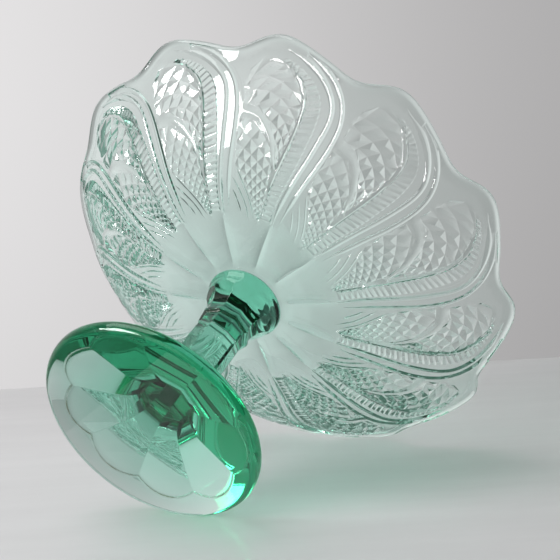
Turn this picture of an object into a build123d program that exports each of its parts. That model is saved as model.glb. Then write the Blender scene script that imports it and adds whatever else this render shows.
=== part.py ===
"""Footed pressed-glass candy dish: a wide scalloped bowl on a faceted knop, stem and foot.

The dish stands on its foot. The origin is the centre of the foot's flat underside and
+Z is the dish's own axis. Four pressings are fused end to end, so each piece starts on
the very face that the piece below it ends on. All sizes are in millimetres.
"""

import math
import os

from build123d import *

# ---- Driving dimensions -------------------------------------------------------------

# Foot: a solid round pad whose top is cut by flat panels that sweep up into the stem.
PANELS = 9
PANEL_PHASE = 8.0  # azimuth of one ridge between two panels, degrees
FOOT_RADIUS = 50.0
FOOT_EDGE_HEIGHT = 4.6  # height at which the edge turns into the sloping flange
FOOT_BASE_ROUND = 3.3
FOOT_SHOULDER_ROUND = 2.2
FLANGE_ANGLE = 37.0  # slope of the round flange outside the panels, degrees
PANEL_ANGLE = 25.0  # slope of each flat panel, degrees
FLANGE_WIDTH = 10.5  # from the edge in to where the ridges between panels start
FLARE_RADIUS = 20.0  # sweep from panel to stem
FOOT_NECK = 0.434  # straight length above the sweep

# Stem: straight panels, then a cove and a raised ring under the knop.
STEM_BASE_RADIUS = 11.4  # over the ridges
STEM_TOP_RADIUS = 11.0
STEM_LENGTH = 28.6
COVE_HEIGHT = 1.4
RING_RADIUS = 12.6
RING_HEIGHT = 2.5

# Knop: facets that flare out under a round button, which carries the bowl.
NECK_RADIUS = 11.8
NECK_HEIGHT = 1.2
KNOP_FLARE_RADIUS = 18.5
KNOP_RADIUS = 18.3
KNOP_HEIGHT = 20.5
KNOP_UNDERCUT = 1.1  # how far the button's edge starts inside the knop's full radius
KNOP_LIP = 4.0
KNOP_EDGE_ROUND = 1.2

# Bowl: a shallow dish with a scalloped, fire-polished rim.
SEAT_MARGIN = 0.3  # by which the flat under the bowl is larger than the knop
BOWL_CURVE_RADIUS = 131.7
BOWL_WALL = 4.5
RIM_RADIUS = 113.4  # mean radius of the rim's outer edge
RIM_WAVE = 4.0  # half the depth of the scallops, measured along the wall
LOBES = 12
LOBE_PHASE = 19.1  # azimuth of one hollow between two lobes, degrees
LOBE_LEAN = -0.35  # lobes lean one way round; 0 makes them symmetric
RIM_ROUND = 1.7
POINTS_PER_LOBE = 8

# ---- Sizes that follow --------------------------------------------------------------

HALF_PANEL = math.radians(180 / PANELS)
FLANGE_SLOPE = math.tan(math.radians(FLANGE_ANGLE))
PANEL_SLOPE = math.tan(math.radians(PANEL_ANGLE))
REACH = 2 * FOOT_RADIUS  # safely outside everything that has panels


def apothem(ridge_radius):
    """Distance from the axis to a panel, for a given radius over the ridges."""
    return ridge_radius * math.cos(HALF_PANEL)


CUSP_RADIUS = FOOT_RADIUS - FLANGE_WIDTH
CUSP_HEIGHT = FOOT_EDGE_HEIGHT + FLANGE_WIDTH * FLANGE_SLOPE
ROOT_HEIGHT = CUSP_HEIGHT + (apothem(CUSP_RADIUS) - apothem(STEM_BASE_RADIUS)) * PANEL_SLOPE
FLARE_HEIGHT = FLARE_RADIUS * math.tan(math.radians(90 - PANEL_ANGLE) / 2)
FOOT_HEIGHT = ROOT_HEIGHT + FLARE_HEIGHT + FOOT_NECK
STEM_END = FOOT_HEIGHT + STEM_LENGTH + COVE_HEIGHT + RING_HEIGHT
KNOP_END = STEM_END + KNOP_HEIGHT
BOWL_FLAT_RADIUS = KNOP_RADIUS + SEAT_MARGIN


def section(outline):
    """A flat face in the XZ plane from a closed outline drawn as radius and height."""
    return Plane.XZ * make_face(outline)


def turned(outline):
    """A round solid, from its outline in the XZ plane."""
    return revolve(section(outline), Axis.Z)


def panelled(outline):
    """A solid with PANELS equal sides, each of which follows the outline."""
    slab = extrude(section(outline), amount=REACH, both=True)
    body = None
    for index in range(PANELS):
        turn = PANEL_PHASE + math.degrees(HALF_PANEL) * (2 * index + 1)
        side = Rot(0, 0, turn) * slab
        body = side if body is None else body & side
    return body


# ---- Foot ---------------------------------------------------------------------------

def make_foot():
    flange_end = (CUSP_RADIUS + STEM_BASE_RADIUS) / 2  # well inside the panels
    pad = turned(
        FilletPolyline(
            (0, 0),
            (FOOT_RADIUS, 0),
            (FOOT_RADIUS, FOOT_EDGE_HEIGHT),
            (flange_end, CUSP_HEIGHT + (CUSP_RADIUS - flange_end) * FLANGE_SLOPE),
            (flange_end, FOOT_HEIGHT),
            (0, FOOT_HEIGHT),
            radius=[0, FOOT_BASE_ROUND, FOOT_SHOULDER_ROUND, 0, 0, 0],
            close=True,
        )
    )
    inner = apothem(STEM_BASE_RADIUS)
    edge_height = CUSP_HEIGHT + (apothem(CUSP_RADIUS) - REACH) * PANEL_SLOPE
    panels = panelled(
        FilletPolyline(
            (-REACH, -REACH),
            (REACH, -REACH),
            (REACH, edge_height),
            (inner, ROOT_HEIGHT),
            (inner, FOOT_HEIGHT),
            (-REACH, FOOT_HEIGHT),
            radius=[0, 0, 0, FLARE_RADIUS, 0, 0],
            close=True,
        )
    )
    return pad & panels


# ---- Stem ---------------------------------------------------------------------------

def make_stem():
    base = apothem(STEM_BASE_RADIUS)
    top = apothem(STEM_TOP_RADIUS)
    ring = apothem(RING_RADIUS)
    cove_start = FOOT_HEIGHT + STEM_LENGTH
    ring_start = cove_start + COVE_HEIGHT
    return panelled(
        Polyline(
            (-REACH, FOOT_HEIGHT),
            (base, FOOT_HEIGHT),
            (top, cove_start),
            (ring, ring_start),
            (ring, STEM_END),
            (-REACH, STEM_END),
            close=True,
        )
    )


# ---- Knop ---------------------------------------------------------------------------

def make_knop():
    neck = apothem(NECK_RADIUS)
    flare_start = STEM_END + NECK_HEIGHT
    flare_end = (neck + KNOP_FLARE_RADIUS, flare_start + KNOP_FLARE_RADIUS)
    facets = panelled(
        RadiusArc((neck, flare_start), flare_end, KNOP_FLARE_RADIUS)
        + Polyline(
            flare_end,
            (REACH, flare_start + KNOP_FLARE_RADIUS),
            (REACH, KNOP_END + KNOP_FLARE_RADIUS),
            (-REACH, KNOP_END + KNOP_FLARE_RADIUS),
            (-REACH, STEM_END),
            (neck, STEM_END),
            (neck, flare_start),
        )
    )
    lip_start = KNOP_END - KNOP_LIP
    button = turned(
        FilletPolyline(
            (0, STEM_END),
            (KNOP_RADIUS - KNOP_UNDERCUT - KNOP_LIP, STEM_END),
            (KNOP_RADIUS - KNOP_UNDERCUT, lip_start),
            (KNOP_RADIUS, KNOP_END - KNOP_LIP / 2),
            (KNOP_RADIUS, KNOP_END),
            (0, KNOP_END),
            radius=[0, 0, KNOP_EDGE_ROUND, KNOP_EDGE_ROUND, KNOP_EDGE_ROUND, 0],
            close=True,
        )
    )
    return facets & button


# ---- Bowl ---------------------------------------------------------------------------

def rim_outline(scale, depth):
    """The closed scalloped outline of the rim, enlarged by a factor about the axis."""
    count = LOBES * POINTS_PER_LOBE
    points = []
    for index in range(count):
        around = 2 * math.pi * index / count
        wave = LOBES * (around - math.radians(LOBE_PHASE))
        radius = RIM_RADIUS - depth * math.cos(wave + LOBE_LEAN * math.cos(wave))
        points.append((scale * radius * math.cos(around), scale * radius * math.sin(around)))
    return make_face(Spline(*points, periodic=True))


def make_bowl():
    centre = KNOP_END + BOWL_CURVE_RADIUS
    beyond = RIM_RADIUS + 2 * RIM_WAVE
    sweep = math.asin((beyond - BOWL_FLAT_RADIUS) / BOWL_CURVE_RADIUS)

    def on_curve(radius, angle):
        return (BOWL_FLAT_RADIUS + radius * math.sin(angle), centre - radius * math.cos(angle))

    outer = BOWL_CURVE_RADIUS
    inner = BOWL_CURVE_RADIUS - BOWL_WALL
    shell = turned(
        Line((0, KNOP_END), (BOWL_FLAT_RADIUS, KNOP_END))
        + ThreePointArc(on_curve(outer, 0), on_curve(outer, sweep / 2), on_curve(outer, sweep))
        + Line(on_curve(outer, sweep), on_curve(inner, sweep))
        + ThreePointArc(on_curve(inner, sweep), on_curve(inner, sweep / 2), on_curve(inner, 0))
        + Line((BOWL_FLAT_RADIUS, KNOP_END + BOWL_WALL), (0, KNOP_END + BOWL_WALL))
        + Line((0, KNOP_END + BOWL_WALL), (0, KNOP_END))
    )
    # The rim is cut square to the wall, by a cone that narrows towards a point high
    # above the dish.
    rim_angle = math.asin((RIM_RADIUS - BOWL_FLAT_RADIUS) / BOWL_CURVE_RADIUS)
    rim_height = on_curve(outer, rim_angle)[1]
    peak = rim_height + RIM_RADIUS / math.tan(rim_angle)
    low = KNOP_END - BOWL_WALL
    high = rim_height + 4 * RIM_WAVE
    depth = RIM_WAVE / math.cos(rim_angle)
    levels = []
    for height in (low, high):
        scale = (peak - height) / (peak - rim_height)
        levels.append(Pos(0, 0, height) * rim_outline(scale, depth))
    cutter = loft(levels, ruled=True)
    bowl = shell & cutter
    edges = bowl.edges().filter_by(lambda edge: edge.center().Z > rim_height - 2 * RIM_WAVE)
    return fillet(edges, RIM_ROUND)


# ---- Write the pieces ---------------------------------------------------------------

PIECES = {
    "foot": make_foot(),
    "stem": make_stem(),
    "knop": make_knop(),
    "bowl": make_bowl(),
}

os.makedirs("parts", exist_ok=True)
for name, piece in PIECES.items():
    piece.label = name
    export_step(piece, f"parts/{name}.step")
    size = piece.bounding_box().size
    print(name, round(size.X, 2), round(size.Y, 2), round(size.Z, 2), "volume", round(piece.volume))
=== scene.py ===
# %% [markdown]
# # A footed dish in pressed green glass
#
# This lesson builds the looks of a pressed-glass dish around a finished CAD frame. The
# dish is four pieces of glass fused end to end: a round foot, a nine-sided stem, a
# flared knop and a wide scalloped bowl with a relief pressed into its underside.
# Everything is in metres, in the frame's own axes: the foot stands on z = 0 and +Z is
# the axis of the dish. Shapes are worked out in millimetres, as a mould maker would
# write them, and turned into metres when a mesh is made.

# %% Load the frame
import math

import bmesh
import bpy
import numpy as np
from mathutils import Matrix, Vector
from mathutils.geometry import delaunay_2d_cdt


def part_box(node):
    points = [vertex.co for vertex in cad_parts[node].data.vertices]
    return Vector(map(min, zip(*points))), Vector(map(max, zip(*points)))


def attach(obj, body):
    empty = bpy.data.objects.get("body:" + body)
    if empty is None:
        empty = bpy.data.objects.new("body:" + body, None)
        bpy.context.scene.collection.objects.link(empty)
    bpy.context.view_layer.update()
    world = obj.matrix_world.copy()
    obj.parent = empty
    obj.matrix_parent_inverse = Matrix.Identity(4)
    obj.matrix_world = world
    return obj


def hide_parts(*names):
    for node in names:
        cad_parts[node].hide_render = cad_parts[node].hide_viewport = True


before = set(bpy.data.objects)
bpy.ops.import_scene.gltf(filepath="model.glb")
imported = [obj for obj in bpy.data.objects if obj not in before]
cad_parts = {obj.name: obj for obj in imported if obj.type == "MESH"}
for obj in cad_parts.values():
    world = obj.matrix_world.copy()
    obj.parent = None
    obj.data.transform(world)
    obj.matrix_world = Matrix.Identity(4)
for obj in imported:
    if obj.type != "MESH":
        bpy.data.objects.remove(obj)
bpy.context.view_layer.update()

MM = 0.001

# %% [markdown]
# ## Sizes from the frame
#
# Each piece starts where the frame says that its neighbour ends, so the heights of the
# joints and the outer radii are read from the boxes of the CAD nodes. What a box can't
# tell, such as a slope or a fillet, is a named value here.

# %% Read heights and radii
def node_span(name):
    """Lowest height, highest height and outer radius of a CAD node, in millimetres."""
    low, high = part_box(name)
    return low.z / MM, high.z / MM, (high.x - low.x) / 2 / MM


_, FOOT_TOP, FOOT_RADIUS = node_span("foot")
_, STEM_TOP, _ = node_span("stem")
_, KNOP_TOP, KNOP_RADIUS = node_span("knop")
_, BOWL_TOP, BOWL_RADIUS = node_span("bowl")
SEAM_GAP = 0.03  # air left between two fused faces, so that a ray meets both
print("joints at", FOOT_TOP, STEM_TOP, KNOP_TOP, "rim at", BOWL_TOP, BOWL_RADIUS)

# %% [markdown]
# ## Glass
#
# Glass has no colour of its own skin: light bends in, is filtered on its way through the
# body, and bends out. So the colour is a Volume Absorption, which makes a thin wall
# nearly clear and a thick edge deep green, as iron and chrome do in the real batch. The
# surface is one Principled shader with full transmission. Its roughness and its normal
# change a little from place to place, because a pressed surface is never optically flat.

# %% Helpers for nodes
def new_group(name, inputs, outputs):
    """A shader node group with float inputs and the given outputs."""
    tree = bpy.data.node_groups.new(name, "ShaderNodeTree")
    for label, value in inputs:
        socket = tree.interface.new_socket(label, in_out="INPUT", socket_type="NodeSocketFloat")
        socket.default_value = value
    for label, kind in outputs:
        tree.interface.new_socket(label, in_out="OUTPUT", socket_type=kind)
    return tree, tree.nodes.new("NodeGroupInput"), tree.nodes.new("NodeGroupOutput")


def feed(tree, slot, value):
    """Gives an input its value, or links it where the value is a socket."""
    if isinstance(value, bpy.types.NodeSocket):
        tree.links.new(value, slot)
    else:
        slot.default_value = value


def add(tree, kind, **values):
    """A node with some of its properties and inputs set, in the order given."""
    node = tree.nodes.new(kind)
    for key, value in values.items():
        if key in node.inputs:
            feed(tree, node.inputs[key], value)
        else:
            setattr(node, key, value)
    return node


def calc(tree, operation, *terms):
    """The result of a Math node on numbers and sockets."""
    node = add(tree, "ShaderNodeMath", operation=operation)
    for slot, term in zip(node.inputs, terms):
        feed(tree, slot, term)
    return node.outputs["Value"]


def ramp(tree, value, low, high, to_low=0.0, to_high=1.0, kind="LINEAR"):
    """The result of a Map Range node that takes low..high to to_low..to_high."""
    node = add(tree, "ShaderNodeMapRange", interpolation_type=kind, Value=value)
    for label, end in zip(("From Min", "From Max", "To Min", "To Max"), (low, high, to_low, to_high)):
        feed(tree, node.inputs[label], end)
    return node.outputs["Result"]


# %% [markdown]
# The skin's waves and pits, the tint of the thick middle and the dirt of years are three
# node groups. Each gives only a normal, a colour or a mask. The shader that uses them
# stays in the material.

# %% Groups for the skin, the tint and the dust
PALE_TINT = (0.985, 1.0, 0.995, 1)
DEEP_TINT = (0.80, 0.985, 0.93, 1)


def fire_polish_group():
    """Slow waves and fine pits of a fire-polished surface, as a normal and a roughness."""
    tree, given, out = new_group(
        "fire_polish",
        [("Wave Size", 60.0), ("Wave Depth", 0.03), ("Pit Size", 900.0), ("Pit Depth", 0.004),
         ("Gloss", 0.0), ("Handling", 0.02)],
        [("Normal", "NodeSocketVector"), ("Roughness", "NodeSocketFloat")],
    )
    place = add(tree, "ShaderNodeTexCoord").outputs["Object"]
    size, depth = given.outputs["Wave Size"], given.outputs["Wave Depth"]
    wave = add(tree, "ShaderNodeTexNoise", Detail=1.5, Vector=place, Scale=size)
    first = add(tree, "ShaderNodeBump", Distance=0.001, Strength=depth, Height=wave.outputs["Fac"])
    size, depth = given.outputs["Pit Size"], given.outputs["Pit Depth"]
    pit = add(tree, "ShaderNodeTexNoise", Detail=3.0, Vector=place, Scale=size)
    second = add(tree, "ShaderNodeBump", Distance=0.0002, Strength=depth, Height=pit.outputs["Fac"],
                 Normal=first.outputs["Normal"])
    feed(tree, out.inputs["Normal"], second.outputs["Normal"])
    film = add(tree, "ShaderNodeTexNoise", Scale=38.0, Detail=4.0, Roughness=0.65, Vector=place)
    patch = ramp(tree, film.outputs["Fac"], 0.52, 0.78)
    rough = calc(tree, "MULTIPLY_ADD", patch, given.outputs["Handling"], given.outputs["Gloss"])
    feed(tree, out.inputs["Roughness"], rough)
    return tree


def depth_tint_group():
    """A colour that deepens towards the dish's axis, where the glass is thickest."""
    tree, given, out = new_group(
        "depth_tint", [("Deep Radius", 0.02), ("Pale Radius", 0.10), ("Amount", 1.0)],
        [("Color", "NodeSocketColor")],
    )
    place = add(tree, "ShaderNodeTexCoord").outputs["Object"]
    x, y, _ = add(tree, "ShaderNodeSeparateXYZ", Vector=place).outputs
    flat = add(tree, "ShaderNodeCombineXYZ", X=x, Y=y)
    reach = add(tree, "ShaderNodeVectorMath", operation="LENGTH")
    feed(tree, reach.inputs[0], flat.outputs["Vector"])
    deep, pale = given.outputs["Deep Radius"], given.outputs["Pale Radius"]
    fade = ramp(tree, reach.outputs["Value"], deep, pale, 1.0, 0.0, "SMOOTHSTEP")
    amount = calc(tree, "MULTIPLY", fade, given.outputs["Amount"])
    mix = add(tree, "ShaderNodeMix", data_type="RGBA", A=PALE_TINT, B=DEEP_TINT, Factor=amount)
    feed(tree, out.inputs["Color"], mix.outputs["Result"])
    return tree


def crease_dust_group():
    """A mask that is 1 in the crease along the scallops of a panelled foot."""
    tree, given, out = new_group(
        "crease_dust",
        [("Panels", 9.0), ("Phase", 0.0), ("Reach", 0.02), ("Flange Slope", 0.75),
         ("Panel Slope", 0.47), ("Width", 0.0009), ("Lowest", 0.006)],
        [("Mask", "NodeSocketFloat")],
    )

    def work(operation, *terms):
        return calc(tree, operation, *terms)

    place = add(tree, "ShaderNodeTexCoord").outputs["Object"]
    x, y, z = add(tree, "ShaderNodeSeparateXYZ", Vector=place).outputs
    radius = work("SQRT", work("ADD", work("MULTIPLY", x, x), work("MULTIPLY", y, y)))
    half = work("DIVIDE", math.pi, given.outputs["Panels"])
    angle = work("SUBTRACT", work("ARCTAN2", y, x), work("ADD", given.outputs["Phase"], half))
    angle = work("WRAP", angle, half, work("MULTIPLY", half, -1.0))
    slope = work("MULTIPLY", work("COSINE", angle), given.outputs["Panel Slope"])
    scallop = work("DIVIDE", given.outputs["Reach"],
                   work("SUBTRACT", given.outputs["Flange Slope"], slope))
    away = work("ABSOLUTE", work("SUBTRACT", radius, scallop))
    near = ramp(tree, away, 0.0, given.outputs["Width"], 1.0, 0.0, "SMOOTHSTEP")
    patchy = add(tree, "ShaderNodeTexNoise", Scale=140.0, Detail=3.0, Vector=place)
    thick = ramp(tree, patchy.outputs["Fac"], 0.35, 0.6, 0.35, 1.0)
    above = work("GREATER_THAN", z, given.outputs["Lowest"])
    feed(tree, out.inputs["Mask"], work("MULTIPLY", work("MULTIPLY", near, thick), above))
    return tree


# %% [markdown]
# Glass from one pot has one density. Here the solid pieces get a denser absorption than
# the bowl, which is chosen and not a property of the real batch. A ray can be
# turned back many times inside thick glass, and the renderer stops following it and
# leaves black. So such a ray goes straight on through a plain Transparent, and a ray
# towards a lamp does the same, which gives a soft green shadow.

# %% Glass materials
FIRE_POLISH = fire_polish_group()
DEPTH_TINT = depth_tint_group()
GLASS_IOR = 1.5
GLASS_GREEN = (0.0, 0.77, 0.55)  # what passes; the rest is absorbed
THIN_DENSITY = 24.0  # per metre, in the bowl
SOLID_DENSITY = 34.0  # in the pieces that were gathered and pressed solid
TRAPPED_AFTER = 2.5  # turns inside the glass
PASSING_GREEN = (0.50, 0.60, 0.56, 1)
DUST_BROWN = (0.16, 0.12, 0.06, 1)
DUST_ROUGHNESS = 0.35


def glass(name, density, waves, deep):
    """A pressed-glass material: one Principled surface and a plain absorption."""
    mat = bpy.data.materials.new(name)
    mat.use_nodes = True
    tree = mat.node_tree
    shader = tree.nodes["Principled BSDF"]
    shader.inputs["Transmission Weight"].default_value = 1.0
    shader.inputs["IOR"].default_value = GLASS_IOR
    shader.inputs["Metallic"].default_value = 0.0
    polish = add(tree, "ShaderNodeGroup", node_tree=FIRE_POLISH, **waves)
    feed(tree, shader.inputs["Normal"], polish.outputs["Normal"])
    feed(tree, shader.inputs["Roughness"], polish.outputs["Roughness"])
    tint = add(tree, "ShaderNodeGroup", node_tree=DEPTH_TINT, **deep)
    feed(tree, shader.inputs["Base Color"], tint.outputs["Color"])
    body = add(tree, "ShaderNodeVolumeAbsorption", Color=(*GLASS_GREEN, 1), Density=density)
    output = tree.nodes["Material Output"]
    feed(tree, output.inputs["Volume"], body.outputs["Volume"])
    path = add(tree, "ShaderNodeLightPath")
    trapped = calc(tree, "GREATER_THAN", path.outputs["Glossy Depth"], TRAPPED_AFTER)
    passes = calc(tree, "MAXIMUM", path.outputs["Is Shadow Ray"], trapped)
    leak = add(tree, "ShaderNodeBsdfTransparent", Color=PASSING_GREEN)
    gate = add(tree, "ShaderNodeMixShader", Fac=passes)
    feed(tree, gate.inputs[1], shader.outputs["BSDF"])
    feed(tree, gate.inputs[2], leak.outputs["BSDF"])
    feed(tree, output.inputs["Surface"], gate.outputs["Shader"])
    return mat


def fused_seam():
    """The face where two hot gathers became one glass: light passes it untouched."""
    mat = bpy.data.materials.new("fused_seam")
    mat.use_nodes = True
    tree = mat.node_tree
    tree.nodes.remove(tree.nodes["Principled BSDF"])
    clear = add(tree, "ShaderNodeBsdfTransparent")
    feed(tree, tree.nodes["Material Output"].inputs["Surface"], clear.outputs["BSDF"])
    return mat


FOOT_GLASS = glass("foot_pressed_glass", SOLID_DENSITY, {"Wave Size": 35.0}, {"Amount": 0.0})
STEM_GLASS = glass("stem_pressed_glass", SOLID_DENSITY, {"Wave Size": 70.0}, {"Amount": 0.6})
KNOP_GLASS = glass("knop_pressed_glass", SOLID_DENSITY, {"Wave Size": 80.0}, {"Amount": 1.0})
BOWL_GLASS = glass("bowl_pressed_glass", THIN_DENSITY, {"Wave Size": 45.0}, {"Amount": 0.9})
SEAM = fused_seam()


def add_dust(mat, values):
    """Browns and roughens the glass of a material where the dust mask says so."""
    tree = mat.node_tree
    shader = tree.nodes["Principled BSDF"]
    mask = add(tree, "ShaderNodeGroup", node_tree=crease_dust_group(), **values).outputs["Mask"]
    clean = shader.inputs["Base Color"].links[0].from_socket
    brown = add(tree, "ShaderNodeMix", data_type="RGBA", A=clean, B=DUST_BROWN, Factor=mask)
    feed(tree, shader.inputs["Base Color"], brown.outputs["Result"])
    smooth = shader.inputs["Roughness"].links[0].from_socket
    feed(tree, shader.inputs["Roughness"], calc(tree, "MULTIPLY_ADD", mask, DUST_ROUGHNESS, smooth))


print("glass materials", [m.name for m in bpy.data.materials])

# %% [markdown]
# ## Nine-sided bodies
#
# Foot, stem and knop share nine panels. Such a body is a stack of rings, and each ring
# is a nine-sided outline that may be cut back to a circle. A Subdivision Surface on a
# cylinder would round every ridge alike, so the rings are computed instead: sixteen
# columns to a panel, crowded near the ridges, which leaves each ridge a hair-fine
# rounding, as fire polishing does.

# %% Helpers for stacks of rings
PANELS = 9
PANEL_PHASE = 8.0
HALF_PANEL = 180 / PANELS
SIDE = np.array([-20, -19.3, -18.3, -16.5, -14, -11, -7.5, -4, 0, 4, 7.5, 11, 14, 16.5, 18.3, 19.3])
DELTA = np.radians(np.tile(SIDE, PANELS))
MIDDLES = PANEL_PHASE + HALF_PANEL + np.repeat(np.arange(PANELS) * 2 * HALF_PANEL, len(SIDE))
AZIMUTH = np.radians(MIDDLES) + DELTA


def ring(radius, height):
    """One ring of points: radius and height may vary from column to column."""
    radius = np.broadcast_to(radius, DELTA.shape)
    height = np.broadcast_to(height, DELTA.shape)
    return np.stack([radius * np.cos(AZIMUTH), radius * np.sin(AZIMUTH), height], axis=1)


def flat_side(apothem):
    """Radius of a nine-sided outline with this apothem, in each column."""
    return apothem / np.cos(DELTA)


def stack(name, rings, sharp_rings, glass_mat, low_cap, high_cap):
    """A closed mesh from rings, low to high, with a cap at each end in the given slot."""
    count = len(DELTA)
    points = np.concatenate(rings + [[[0, 0, rings[0][0][2]], [0, 0, rings[-1][0][2]]]])
    mesh = bpy.data.meshes.new(name)
    faces = []
    slots = []
    for row in range(len(rings) - 1):
        for column in range(count):
            a = row * count + column
            b = row * count + (column + 1) % count
            faces.append((a, b, b + count, a + count))
            slots.append(0)
    bottom, top = len(points) - 2, len(points) - 1
    last = (len(rings) - 1) * count
    for column in range(count):
        after = (column + 1) % count
        faces.append((after, column, bottom))
        slots.append(low_cap)
        faces.append((last + column, last + after, top))
        slots.append(high_cap)
    mesh.from_pydata([tuple(p * MM) for p in points], [], faces)
    mesh.materials.append(glass_mat)
    mesh.materials.append(SEAM)
    mesh.polygons.foreach_set("material_index", slots)
    mesh.polygons.foreach_set("use_smooth", [True] * len(faces))
    sharp = {row * count + column for row in sharp_rings for column in range(count)}
    for edge in mesh.edges:
        a, b = edge.vertices
        same_ring = a // count == b // count and b < bottom
        edge.use_edge_sharp = same_ring and a in sharp and b in sharp
    mesh.validate()
    obj = bpy.data.objects.new(name, mesh)
    bpy.context.scene.collection.objects.link(obj)
    print(name, len(mesh.vertices), "points", len(mesh.polygons), "faces")
    return obj


def arc(centre, radius, start, end, steps):
    """Points of an arc as (radius, height) pairs; angles in degrees from the +r axis."""
    angles = np.radians(np.linspace(start, end, steps + 1))
    return [(centre[0] + radius * math.cos(a), centre[1] + radius * math.sin(a)) for a in angles]


# %% [markdown]
# ## Foot
#
# The foot is a thick round pad, pressed solid. Its underside is ground flat, its edge is
# round, and nine flat panels are cut into its sloping top. Where a panel meets the round
# flange the edge makes a scallop, and between two panels a ridge runs up into the stem.
# A Boolean of planes and a cone would give the same shape with messy normals, so the
# scallop is solved by a formula and the rings simply follow it. Dirt settles in the
# crease along the scallops, so a thin brown line of dust follows the same formula.

# %% Make the foot
FLANGE_ANGLE, PANEL_ANGLE = 37, 25
FLANGE = math.tan(math.radians(FLANGE_ANGLE))
PANEL = math.tan(math.radians(PANEL_ANGLE))
CUSP_RADIUS = 39.5
FOOT_EDGE = 4.6
BASE_ROUND = 3.3
SHOULDER_ROUND = 2.2
FLARE = 20.0
TO_APOTHEM = math.cos(math.radians(HALF_PANEL))  # from a radius over the ridges
STEM_APOTHEM = 11.4 * TO_APOTHEM
CREASE = 0.22  # depth of the crease along the scallops
HOLD = 0.3  # a row this close to a corner keeps the shading of the flat beside it true
LIP = 0.5  # from the crease to the row on either side of it


def foot_rings():
    """The foot's rings from the underside up, and the row of the crease."""
    rings = [ring(r, 0) for r in (12, 26, 38, FOOT_RADIUS - BASE_ROUND - HOLD)]
    base = arc((FOOT_RADIUS - BASE_ROUND, BASE_ROUND), BASE_ROUND, -90, 0, 8)
    shoulder_turn = 90 - FLANGE_ANGLE
    shoulder_height = FOOT_EDGE - SHOULDER_ROUND * math.tan(math.radians(shoulder_turn / 2))
    shoulder = arc((FOOT_RADIUS - SHOULDER_ROUND, shoulder_height), SHOULDER_ROUND, 0, shoulder_turn, 6)
    rings += [ring(r, z) for r, z in base + shoulder]
    start_r, start_z = shoulder[-1]
    cusp_height = FOOT_EDGE + (FOOT_RADIUS - CUSP_RADIUS) * FLANGE
    cusp_apothem = CUSP_RADIUS * TO_APOTHEM
    # The scallop: where the cone of the flange and a panel have the same height.
    reach = FOOT_EDGE + FOOT_RADIUS * FLANGE - cusp_height - cusp_apothem * PANEL
    scallop = reach / (FLANGE - np.cos(DELTA) * PANEL)
    lip = scallop + LIP
    for share in (0.25, 0.5, 0.75, 0.93, 1.0):
        radius = start_r + (lip - start_r) * share
        rings.append(ring(radius, start_z + (start_r - radius) * FLANGE))
    crease_row = len(rings)
    rings.append(ring(scallop, start_z + (start_r - scallop) * FLANGE - CREASE))
    # Panels: straight, then an arc that turns up into the stem.
    turn = math.radians(90 - PANEL_ANGLE)
    tangent = FLARE * math.tan(turn / 2)
    root = cusp_height + (cusp_apothem - STEM_APOTHEM) * PANEL
    centre = (STEM_APOTHEM + FLARE, root + tangent)
    arc_start = STEM_APOTHEM + tangent * math.cos(math.radians(PANEL_ANGLE))
    inner_lip = (scallop - LIP) * np.cos(DELTA)
    for share in (0.0, 0.12, 0.3, 0.5, 0.75, 1.0):
        side = inner_lip + (arc_start - inner_lip) * share
        rings.append(ring(side / np.cos(DELTA), cusp_height + (cusp_apothem - side) * PANEL))
    for r, z in arc(centre, FLARE, 270 - PANEL_ANGLE, 180, 12)[1:]:
        rings.append(ring(flat_side(r), z))
    rings.append(ring(flat_side(STEM_APOTHEM), FOOT_TOP - SEAM_GAP))
    return rings, [crease_row]


SCALLOP_REACH = CUSP_RADIUS * (FLANGE - TO_APOTHEM * PANEL)
add_dust(FOOT_GLASS, {
    "Panels": PANELS, "Phase": math.radians(PANEL_PHASE), "Reach": SCALLOP_REACH * MM,
    "Flange Slope": FLANGE, "Panel Slope": PANEL,
})
rings, sharp = foot_rings()
foot = stack("foot_glass_body", rings, sharp, FOOT_GLASS, 0, 1)
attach(foot, "root")
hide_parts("foot")

# %% [markdown]
# ## Stem
#
# The stem is a straight nine-sided column with a cove and a raised ring under the knop.
# Its panels line up with those of the foot. A row of points just inside each end keeps
# the long flats from being shaded as curved.

# %% Make the stem
TOP_APOTHEM = 11.0 * TO_APOTHEM
RING_APOTHEM = 12.6 * TO_APOTHEM
NECK_APOTHEM = 11.8 * TO_APOTHEM
STEM_LENGTH = 28.6
COVE = 1.4
RING_ROUND = 0.45
COVE_WIDE, COVE_TALL = 0.8, 0.9  # how much of the step out and of its height the cove fills


def stem_rings():
    """The stem's rings from the foot up, and the rows that stay crisp."""
    rings = []
    cove_start = FOOT_TOP + STEM_LENGTH
    hold = HOLD / STEM_LENGTH
    for share in (0.0, hold, 0.33, 0.66, 1 - hold, 1.0):
        side = STEM_APOTHEM + (TOP_APOTHEM - STEM_APOTHEM) * share
        rings.append(ring(flat_side(side), FOOT_TOP + STEM_LENGTH * share))
    sharp = [len(rings) - 1]
    step = RING_APOTHEM - TOP_APOTHEM
    for angle in (20, 40, 60, 80):
        turn = math.radians(angle)
        side = TOP_APOTHEM + step * (1 - math.cos(turn)) * COVE_WIDE
        rings.append(ring(flat_side(side), cove_start + COVE * math.sin(turn) * COVE_TALL))
    sharp += [len(rings) - 1, len(rings)]
    low = arc((RING_APOTHEM - RING_ROUND, cove_start + COVE + RING_ROUND), RING_ROUND, -80, 0, 3)
    high = arc((RING_APOTHEM - RING_ROUND, STEM_TOP - RING_ROUND), RING_ROUND, 0, 90, 3)
    rings += [ring(flat_side(r), z - SEAM_GAP) for r, z in low + high]
    rings.append(ring(flat_side(NECK_APOTHEM), STEM_TOP - SEAM_GAP))
    return rings, sharp + [len(rings) - 2]


rings, sharp = stem_rings()
stem = stack("stem_glass_body", rings, sharp, STEM_GLASS, 1, 1)
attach(stem, "root")
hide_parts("stem")

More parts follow.
